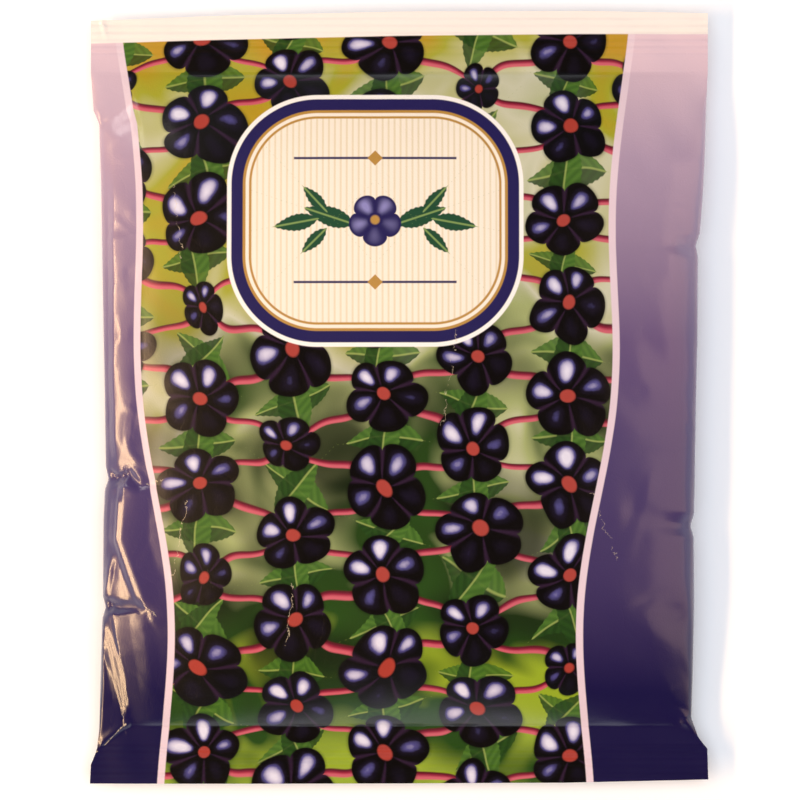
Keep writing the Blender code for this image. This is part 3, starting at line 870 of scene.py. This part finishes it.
@dataclass(frozen=True)
class Print:
    """The printed design: violet ground, picture panel, cream label, plain back."""

    violet: tuple = (
        (-81.0, "#160E3D"), (-62.0, "#160D40"), (-38.0, "#3D2D5C"), (-10.0, "#4C3B69"),
        (12.0, "#664F78"), (50.0, "#AF95AA"), (78.0, "#E6C8CE"),
    )
    picture: tuple = (
        (0.00, "#93A822"), (0.18, "#23460C"), (0.36, "#223E0C"), (0.50, "#A0A868"),
        (0.62, "#CCC9AA"), (0.80, "#A3A226"), (1.00, "#B98F12"),
    )
    cream: str = "#F8EBD6"
    stripe: str = "#EAD9B8"
    navy: str = "#221A52"
    gold: str = "#B88A3A"
    white: str = "#FBF4EA"
    unprinted: str = "#FAEEE2"
    keyline: str = "#E6CDD3"
    panel_centre: float = -5.0
    panel_half: float = 47.5
    panel_flare: float = 4.6
    panel_waist: float = 1.8
    keyline_width: float = 1.5
    flower_width: float = 19.2
    flower_height: float = 18.8
    drift: float = 5.5                # how far the repeat strays over the panel
    label_centre: tuple = (-5.0, 37.0)
    label_half: tuple = (31.0, 26.5)
    label_corner: float = 19.0

    def build(self) -> bpy.types.NodeTree:
        """Build the group that gives the printed colour of any place on the film.

        Returns:
            The group, whose outputs are the colour and a mask of bare film.
        """
        place = film_place_group()
        tree, graph, _, leave = new_group("packet print", {}, {"Color": COLOUR, "Bare": VALUE})
        spot = graph.group(place)
        x, y = spot["X"], spot["Y"]
        ground = self.violet_ground(graph, y)
        panel = self.panel_distance(graph, x, y)
        picture = self.flowers(graph, x, y, self.picture_ground(graph, x, y))
        picture = self.label(graph, x, y, picture)
        front = graph.mix(graph.inside(graph.minus(panel, self.keyline_width)), ground,
                          paint(self.keyline))
        front = graph.mix(graph.inside(panel), front, picture)
        back = self.back_panel(graph, spot["Back X"], y, ground)
        colour = graph.mix(spot["Is Back"], front, back)
        edge = graph.minus(graph.minus(76.3, y), graph.times(x, -0.0085))
        bare = graph.inside(edge, 0.25)
        graph.feed(leave.inputs["Color"], graph.mix(bare, colour, paint(self.unprinted)))
        graph.feed(leave.inputs["Bare"], bare)
        return tree

    def violet_ground(self, graph: Graph, y: bpy.types.NodeSocket) -> bpy.types.NodeSocket:
        """Lilac at the top, running down to deep violet."""
        share = graph.math("DIVIDE", graph.add(y, 82.0), 164.0)
        stops = tuple(((place + 82.0) / 164.0, code) for place, code in self.violet)
        return graph.ramp(share, stops)

    def panel_distance(self, graph: Graph, x: bpy.types.NodeSocket,
                       y: bpy.types.NodeSocket) -> bpy.types.NodeSocket:
        """Distance to the picture panel, whose sides draw in to a waist."""
        swing = graph.math("SINE", graph.times(y, math.pi / 160.0))
        waist = graph.math("COSINE", graph.times(y, math.pi / 44.0))
        half = graph.add(self.panel_half, graph.times(swing, self.panel_flare),
                         graph.times(waist, self.panel_waist))
        return graph.minus(graph.math("ABSOLUTE", graph.minus(x, self.panel_centre)), half)

    def picture_ground(self, graph: Graph, x: bpy.types.NodeSocket,
                       y: bpy.types.NodeSocket) -> bpy.types.NodeSocket:
        """Soft, out-of-focus greens and yellows behind the flowers."""
        flat = graph.vector(x, y)
        broad = graph.noise(flat, 0.024, 0.0, 0.4, 0.5)
        small = graph.noise(flat, 0.06, 1.0, 0.5, 0.8)
        share = graph.math("DIVIDE", graph.add(y, 84.0), 164.0)
        share = graph.add(share, graph.times(graph.minus(broad, 0.5), 0.85))
        share = graph.add(share, graph.times(graph.minus(small, 0.5), 0.40))
        colour = graph.ramp(share, self.picture)
        deep = graph.spread(graph.noise(graph.vector(graph.add(x, 40.0), y), 0.04, 1.0), 0.38, 0.62)
        low = graph.times(graph.spread(y, 34.0, -14.0), graph.spread(y, -70.0, -52.0))
        return graph.mix(graph.times(deep, low, 0.9), colour, paint("#101A08"))

    def flowers(self, graph: Graph, x: bpy.types.NodeSocket, y: bpy.types.NodeSocket,
                ground: bpy.types.NodeSocket) -> bpy.types.NodeSocket:
        """A half-drop repeat of dark flowers and green leaves on crimson stems."""
        repeat = half_drop_group()
        leaf = leaf_group()
        size = {"Width": self.flower_width, "Height": self.flower_height}
        drift = graph.node("ShaderNodeTexNoise", noise_dimensions="2D")
        graph.feed(drift.inputs["Vector"], graph.vector(x, y))
        drift.inputs["Scale"].default_value = 0.05
        drift.inputs["Detail"].default_value = 1.0
        pull = graph.node("ShaderNodeSeparateColor")
        graph.feed(pull.inputs[0], drift.outputs["Color"])
        x = graph.add(x, graph.times(graph.minus(pull.outputs[0], 0.5), self.drift))
        y = graph.add(y, graph.times(graph.minus(pull.outputs[1], 0.5), self.drift))
        colour = ground
        for turn, length in ((0.9, 8.0), (-0.8, 7.4)):
            spot = graph.group(repeat, X=graph.add(x, 3.0),
                               Y=graph.add(y, 0.5 * self.flower_height), Stray=2.2, **size)
            angle = graph.add(graph.times(spot["Random"], 1.3), turn)
            blade = graph.group(leaf, X=spot["X"], Y=spot["Y"], Turn=angle,
                                Half_Length=length, Half_Width=length * 0.42)
            green = graph.ramp(blade["Light"], (
                (0.1, "#16300C"), (0.45, "#274C12"), (0.8, "#4C7420"), (1.0, "#7C9636")))
            green = graph.mix(graph.times(blade["Rib"], 0.6), green, paint("#A9B85A"))
            colour = graph.mix(graph.times(blade["Mask"], 0.92), colour, green)
        spot = graph.group(repeat, X=graph.add(x, 3.0), Y=y, Stray=0.0, **size)
        colour = self.stems(graph, spot, colour)
        return self.rosettes(graph, repeat, x, y, size, colour)

    def stems(self, graph: Graph, spot: dict,
              ground: bpy.types.NodeSocket) -> bpy.types.NodeSocket:
        """Crimson stems that cross from flower to flower."""
        slope = self.flower_height / 2 / self.flower_width
        wave = graph.times(graph.math(
            "SINE", graph.times(spot["X"], 2.0 * math.pi / self.flower_width)), 1.3)
        path = graph.add(graph.times(spot["X"], slope), wave)
        colour = ground
        for across in (path, graph.times(path, -1.0)):
            away = graph.times(graph.minus(spot["Y"], across), 0.82)
            round_light = graph.spread(graph.add(away, 0.25), 0.75, -0.1)
            crimson = graph.ramp(round_light, (
                (0.0, "#5A0E1E"), (0.5, "#9A1E3A"), (1.0, "#CC5A66")))
            stem = graph.inside(graph.minus(graph.math("ABSOLUTE", away), 0.62))
            colour = graph.mix(stem, colour, crimson)
        return colour

    def rosettes(self, graph: Graph, repeat: bpy.types.NodeTree, x: bpy.types.NodeSocket,
                 y: bpy.types.NodeSocket, size: dict,
                 ground: bpy.types.NodeSocket) -> bpy.types.NodeSocket:
        """Near-black flowers with lilac lights on their petals."""
        flower = rosette_group()
        spot = graph.group(repeat, X=graph.add(x, 3.0), Y=y, Stray=0.6, **size)
        large = graph.spread(spot["Random"], 0.07, 0.08)
        radius = graph.add(graph.times(spot["Second"], 1.3), graph.times(large, 2.7), 5.2)
        bloom = graph.group(flower, X=spot["X"], Y=spot["Y"], Radius=radius,
                            Turn=graph.times(spot["Second"], 6.0))
        shade = graph.times(bloom["Shade"], 0.55)
        colour = graph.mix(shade, ground, paint("#0E1208"))
        grain = graph.noise(graph.vector(x, y), 0.5, 2.0, 0.6)
        lit = graph.add(graph.times(spot["Random"], 0.35), 0.72)
        light = graph.add(graph.times(bloom["Light"], lit),
                          graph.times(graph.minus(grain, 0.5), 0.14))
        petals = graph.ramp(light, (
            (0.06, "#050304"), (0.28, "#140D20"), (0.46, "#4E4884"), (0.66, "#B8B0CA"),
            (0.90, "#E2DCE8")))
        petals = graph.mix(graph.times(bloom["Gap"], 0.55), petals, paint("#3B1F3F"))
        petals = graph.mix(bloom["Heart"], petals, paint("#A83A2C"))
        return graph.mix(bloom["Mask"], colour, petals)

    def label(self, graph: Graph, x: bpy.types.NodeSocket, y: bpy.types.NodeSocket,
              ground: bpy.types.NodeSocket) -> bpy.types.NodeSocket:
        """A cream, pinstriped plaque in navy, gold and white lines, with a plain sprig."""
        plaque = plaque_group()
        x = graph.minus(x, self.label_centre[0])
        y = graph.minus(y, self.label_centre[1])
        away = graph.group(plaque, X=x, Y=y, Half_Width=self.label_half[0],
                           Half_Height=self.label_half[1], Corner=self.label_corner)["Distance"]
        stripes = graph.math("SINE", graph.times(x, 2.0 * math.pi / 1.25))
        cream = graph.mix(graph.spread(stripes, 0.1, 0.9), paint(self.cream), paint(self.stripe))
        cream = self.sprig(graph, x, y, cream)
        colour = ground
        rings = ((0.0, self.white), (-0.9, self.navy), (-3.3, self.gold), (-3.9, self.cream),
                 (-4.6, self.gold))
        for inset, code in rings:
            colour = graph.mix(graph.inside(graph.minus(away, inset)), colour, paint(code))
        return graph.mix(graph.inside(graph.add(away, 5.1)), colour, cream)

    def sprig(self, graph: Graph, x: bpy.types.NodeSocket, y: bpy.types.NodeSocket,
              ground: bpy.types.NodeSocket) -> bpy.types.NodeSocket:
        """A plain sprig: one small flower between leaves, over and under thin rules."""
        leaf = bpy.data.node_groups["leaf"]
        flower = bpy.data.node_groups["rosette"]
        colour = ground
        wide = graph.math("ABSOLUTE", x)
        for out, up, turn, length in ((9.6, 0.8, -1.25, 5.8), (16.6, -0.6, -1.75, 5.0),
                                      (12.6, 4.4, -0.75, 3.9), (12.8, -4.4, -2.35, 3.9)):
            blade = graph.group(leaf, X=graph.minus(wide, out), Y=graph.minus(y, up),
                                Turn=turn, Half_Length=length, Half_Width=length * 0.36)
            green = graph.mix(blade["Rib"], paint("#1F4A30"), paint("#7F9A52"))
            colour = graph.mix(blade["Mask"], colour, green)
        bloom = graph.group(flower, X=x, Y=y, Radius=5.6, Turn=0.32)
        petal = graph.mix(graph.times(bloom["Light"], 1.2), paint(self.navy), paint("#8C86BC"))
        petal = graph.mix(bloom["Heart"], petal, paint(self.gold))
        colour = graph.mix(bloom["Mask"], colour, petal)
        high = graph.math("ABSOLUTE", y)
        off = graph.math("ABSOLUTE", graph.minus(high, 13.0))
        rule = graph.math("MAXIMUM", graph.minus(off, 0.24), graph.minus(wide, 17.0))
        colour = graph.mix(graph.inside(rule), colour, paint(self.navy))
        gem = graph.minus(graph.add(wide, off), 1.6)
        return graph.mix(graph.inside(gem), colour, paint(self.gold))

    def back_panel(self, graph: Graph, x: bpy.types.NodeSocket, y: bpy.types.NodeSocket,
                   ground: bpy.types.NodeSocket) -> bpy.types.NodeSocket:
        """A bare cream panel with plain rules, on the back."""
        plaque = bpy.data.node_groups["plaque distance"]
        away = graph.group(plaque, X=x, Y=y, Half_Width=46.0, Half_Height=54.0,
                           Corner=4.0)["Distance"]
        colour = graph.mix(graph.inside(away), ground, paint(self.navy))
        colour = graph.mix(graph.inside(graph.add(away, 1.2)), colour, paint(self.cream))
        row = graph.math("PINGPONG", graph.add(y, 100.0), 6.0)
        rule = graph.math("MAXIMUM", graph.minus(row, 0.12), graph.add(away, 6.0))
        return graph.mix(graph.times(graph.inside(rule), 0.6), colour, paint("#8C86A0"))


@dataclass(frozen=True)
class FilmFinish:
    """Glossy printed film: print, grain, fine crinkle, and painted glints: pale lines along sharp
    folds and scratches.
    """

    roughness: float = 0.36
    gloss: float = 0.40               # specular level of the ink under the clear film
    coat_index: float = 1.6           # index of refraction of the clear film
    coat_roughness: float = 0.19
    # warm pale colour of the painted glints along sharp folds and scratches
    painted_glint: str = "#E2CDA8"
    dent_rise: float = 0.055          # rises and falls of the film's surface, in millimetres
    fold_rise: float = 0.012
    grain_rise: float = 0.030
    # pale lines of painted glint, where sharp folds and scratches catch the light
    glint_lines: tuple = (
        # from, to, wander, half width
        ((-44.6, -21.5), (-46.2, -31.0), 1.6, 0.07),
        ((-46.0, -30.5), (-48.4, -40.5), 2.0, 0.06),
        ((-22.0, -38.0), (-23.6, -52.0), 1.4, 0.05),
        ((-53.6, -18.6), (-49.6, -17.2), 1.4, 0.07),
        ((-54.0, -43.6), (-50.6, -46.0), 1.2, 0.06),
        ((-47.6, 45.0), (-45.4, 29.0), 1.6, 0.04),
        ((12.0, 14.0), (9.0, -6.0), 2.0, 0.035),
        ((40.0, -20.0), (46.0, -34.0), 2.2, 0.03),
        ((-58.3, -68.6), (-65.0, -71.1), 0.1, 0.14),
    )

    def build(self) -> bpy.types.Material:
        """Build the film's material."""
        material = bpy.data.materials.new("printed glossy film")
        material.use_nodes = True
        graph = Graph(material.node_tree)
        shader = material.node_tree.nodes["Principled BSDF"]
        printed = graph.group(Print().build())
        spot = graph.group(bpy.data.node_groups["film place"])
        flat = graph.vector(spot["X"], spot["Y"])
        grain = graph.noise(flat, 2.8, 1.0, 0.7)
        mottle = graph.noise(flat, 0.12, 3.0, 0.5)
        colour = graph.mix(graph.times(grain, 0.10), printed["Color"], paint("#B9A08C"),
                           "SOFT_LIGHT")
        # painted glints: pale warm lines laid over the print along sharp folds and scratches
        colour = graph.mix(self.painted_glint_mask(graph, spot, flat), colour, paint(self.painted_glint))
        graph.feed(shader.inputs["Base Color"], colour)
        rough = graph.add(self.roughness - 0.06, graph.times(mottle, 0.10),
                          graph.times(grain, 0.03), graph.times(printed["Bare"], 0.06))
        graph.feed(shader.inputs["Roughness"], rough)
        shader.inputs["IOR"].default_value = 1.5
        shader.inputs["Specular IOR Level"].default_value = self.gloss
        shader.inputs["Coat Weight"].default_value = 1.0
        shader.inputs["Coat IOR"].default_value = self.coat_index
        shader.inputs["Coat Roughness"].default_value = self.coat_roughness
        bump = graph.node("ShaderNodeBump")
        bump.inputs["Strength"].default_value = 1.0
        bump.inputs["Distance"].default_value = MM
        graph.feed(bump.inputs["Height"], self.crinkle_height(graph, flat, grain))
        graph.feed(shader.inputs["Normal"], bump.outputs["Normal"])
        return material

    def painted_glint_mask(self, graph: Graph, spot: dict,
                   flat: bpy.types.NodeSocket) -> bpy.types.NodeSocket:
        """Painted glints: pale lines along sharp folds and scratches, where these catch the light.
        """
        glint_line = glint_line_group()
        wobble = graph.noise(flat, 0.45, 3.0, 0.6)
        breaks = graph.noise(flat, 0.9, 1.0, 0.5)
        mask = 0.0
        for (x0, y0), (x1, y1), wander, width in self.glint_lines:
            line = graph.group(glint_line, X=spot["X"], Y=spot["Y"], From_X=x0, From_Y=y0,
                               To_X=x1, To_Y=y1, Wander=wander * 2.0, Width=width,
                               Wobble=wobble, Breaks=breaks)
            mask = graph.math("MAXIMUM", line["Mask"], mask)
        return graph.times(mask, 0.75)

    def crinkle_height(self, graph: Graph, flat: bpy.types.NodeSocket,
                       grain: bpy.types.NodeSocket) -> bpy.types.NodeSocket:
        """Fine crinkle of the film: soft dents, faint folds and a grain."""
        dents = graph.noise(flat, 0.16, 3.0, 0.55, 0.6)
        folds = graph.node("ShaderNodeTexVoronoi", feature="DISTANCE_TO_EDGE",
                           voronoi_dimensions="2D")
        bent = graph.node("ShaderNodeVectorMath", operation="ADD")
        graph.feed(bent.inputs[0], flat)
        graph.feed(bent.inputs[1], graph.vector(graph.times(dents, 9.0), graph.times(dents, 6.0)))
        graph.feed(folds.inputs["Vector"], bent.outputs[0])
        folds.inputs["Scale"].default_value = 0.075
        line = graph.spread(folds.outputs["Distance"], 0.0, 0.05)
        return graph.add(graph.times(dents, self.dent_rise), graph.times(line, self.fold_rise),
                         graph.times(grain, self.grain_rise))


@dataclass(frozen=True)
class BerryFinish:
    """Dull, wrinkled skin of dried elderberries."""

    dark: str = "#120A10"
    bloom: str = "#3A2230"

    def build(self) -> bpy.types.Material:
        """Build the fruit's material."""
        material = bpy.data.materials.new("dried elderberry skin")
        material.use_nodes = True
        graph = Graph(material.node_tree)
        shader = material.node_tree.nodes["Principled BSDF"]
        skin = graph.group(dried_skin_group())
        colour = graph.mix(skin["Patch"], paint(self.dark), paint(self.bloom))
        graph.feed(shader.inputs["Base Color"], colour)
        graph.feed(shader.inputs["Roughness"], graph.add(graph.times(skin["Patch"], 0.3), 0.4))
        bump = graph.node("ShaderNodeBump")
        bump.inputs["Strength"].default_value = 0.6
        bump.inputs["Distance"].default_value = 0.4 * MM
        graph.feed(bump.inputs["Height"], skin["Height"])
        graph.feed(shader.inputs["Normal"], bump.outputs["Normal"])
        return material


# --------------------------------------------------------------------------- studio


@dataclass(frozen=True)
class Softbox:
    """An area light that faces the packet."""

    name: str
    place: tuple
    size: tuple                       # level, and upright
    power: float
    colour: tuple = (1.0, 1.0, 1.0)
    glints: bool = True               # whether gloss shows it
    facing: float = 0.0               # place along the packet's length that it faces

    def build(self) -> None:
        """Add the light and turn it to the packet."""
        bpy.ops.object.light_add(type="AREA", location=self.place)
        lamp = bpy.context.object
        lamp.name = self.name
        lamp.data.shape = "RECTANGLE"
        lamp.data.size, lamp.data.size_y = self.size
        lamp.data.energy = self.power
        lamp.data.color = self.colour
        lamp.visible_glossy = self.glints
        x, y, z = self.place[0], self.place[1] - self.facing, self.place[2]
        lamp.rotation_euler = (math.atan2(math.hypot(x, y), z), 0.0, math.atan2(x, -y))


@dataclass(frozen=True)
class Studio:
    """Pale floor, soft lights round the packet, and a camera straight above it."""

    lights: tuple = (
        Softbox("left softbox", (-0.72, -0.06, 0.70), (0.44, 0.60), 1.2, (1.0, 0.62, 0.42)),
        Softbox("left strip", (-0.60, -0.30, 0.52), (0.90, 0.07), 5.2, (1.0, 0.65, 0.34),
                facing=-0.30),
        Softbox("corner strip", (-0.42, 0.52, 0.56), (0.10, 0.30), 0.5, (1.0, 0.92, 0.88)),
        Softbox("right softbox", (0.80, 0.00, 0.70), (0.60, 0.70), 1.6, (1.0, 0.66, 0.52)),
        Softbox("overhead fill", (0.0, 0.0, 1.3), (1.6, 1.6), 14.1, (0.90, 1.0, 1.13), False),
    )
    lens: float = 180.0
    view_width: float = 168.4 * MM
    floor_glow: float = 0.09          # keeps the pale floor white round the packet
    aim: tuple = (0.2 * MM, -0.6 * MM, 6.0 * MM)

    def build(self) -> None:
        """Set up the floor, the lights, the world, the camera and the colour."""
        deselect()
        bpy.ops.mesh.primitive_plane_add(size=4.0, location=(0.0, 0.0, -0.0002))
        floor = bpy.context.object
        floor.name = "studio_floor"
        floor.data.materials.append(self.floor_finish())
        for light in self.lights:
            light.build()
        self.world()
        camera_data = bpy.data.cameras.new("camera")
        camera_data.lens = self.lens
        camera_data.dof.use_dof = False
        distance = self.lens / camera_data.sensor_width * self.view_width
        camera = bpy.data.objects.new("camera", camera_data)
        camera.location = (self.aim[0], self.aim[1], self.aim[2] + distance)
        bpy.context.collection.objects.link(camera)
        bpy.context.scene.camera = camera
        bpy.context.scene.view_settings.view_transform = "Standard"

    def floor_finish(self) -> bpy.types.Material:
        """Plain pale floor."""
        material = bpy.data.materials.new("pale floor")
        material.use_nodes = True
        graph = Graph(material.node_tree)
        shader = material.node_tree.nodes["Principled BSDF"]
        place = graph.node("ShaderNodeTexCoord").outputs["Object"]
        tone = graph.ramp(graph.noise(place, 3.0), ((0.3, "#FAF9F8"), (0.7, "#FCFCFB")))
        graph.feed(shader.inputs["Base Color"], tone)
        shader.inputs["Emission Color"].default_value = paint("#FFFFFF")
        shader.inputs["Emission Strength"].default_value = self.floor_glow
        shader.inputs["Roughness"].default_value = 0.8
        shader.inputs["Specular IOR Level"].default_value = 0.1
        return material

    def world(self) -> None:
        """Pale round the horizon and dim overhead, as in a tented copy stand."""
        world = bpy.data.worlds.new("tent")
        world.use_nodes = True
        bpy.context.scene.world = world
        graph = Graph(world.node_tree)
        back = world.node_tree.nodes["Background"]
        place = graph.node("ShaderNodeTexCoord").outputs["Generated"]
        parts = graph.node("ShaderNodeSeparateXYZ")
        graph.feed(parts.inputs[0], place)
        graph.feed(back.inputs["Color"], graph.ramp(parts.outputs["Z"], (
            (0.0, "#F0F4FA"), (0.30, "#E4E8F0"), (0.52, "#202024"), (1.0, "#101012"))))
        back.inputs["Strength"].default_value = 0.9


def dress_film() -> bpy.types.Object:
    """Model the film, give it its finish, and put it in place of its CAD solid."""
    film = FilmPacket().build()
    film.data.materials.append(FilmFinish().build())
    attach(film, "root")
    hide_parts("film_packet")
    LOG.info("%s: %d faces", film.name, len(film.data.polygons))
    return film


def dress_fruit() -> None:
    """Give the fruit's CAD solid its finish."""
    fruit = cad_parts["dried_elderberries"]
    skin = BerryFinish().build()
    for place in fruit.material_slots:
        place.material = skin
    LOG.info("%s: dressed", fruit.name)


def main() -> None:
    """Build the packet, dress what it holds, and light it."""
    logging.basicConfig(level=logging.INFO, format="%(name)s: %(message)s")
    dress_film()
    dress_fruit()
    Studio().build()


if __name__ == "__main__":
    main()
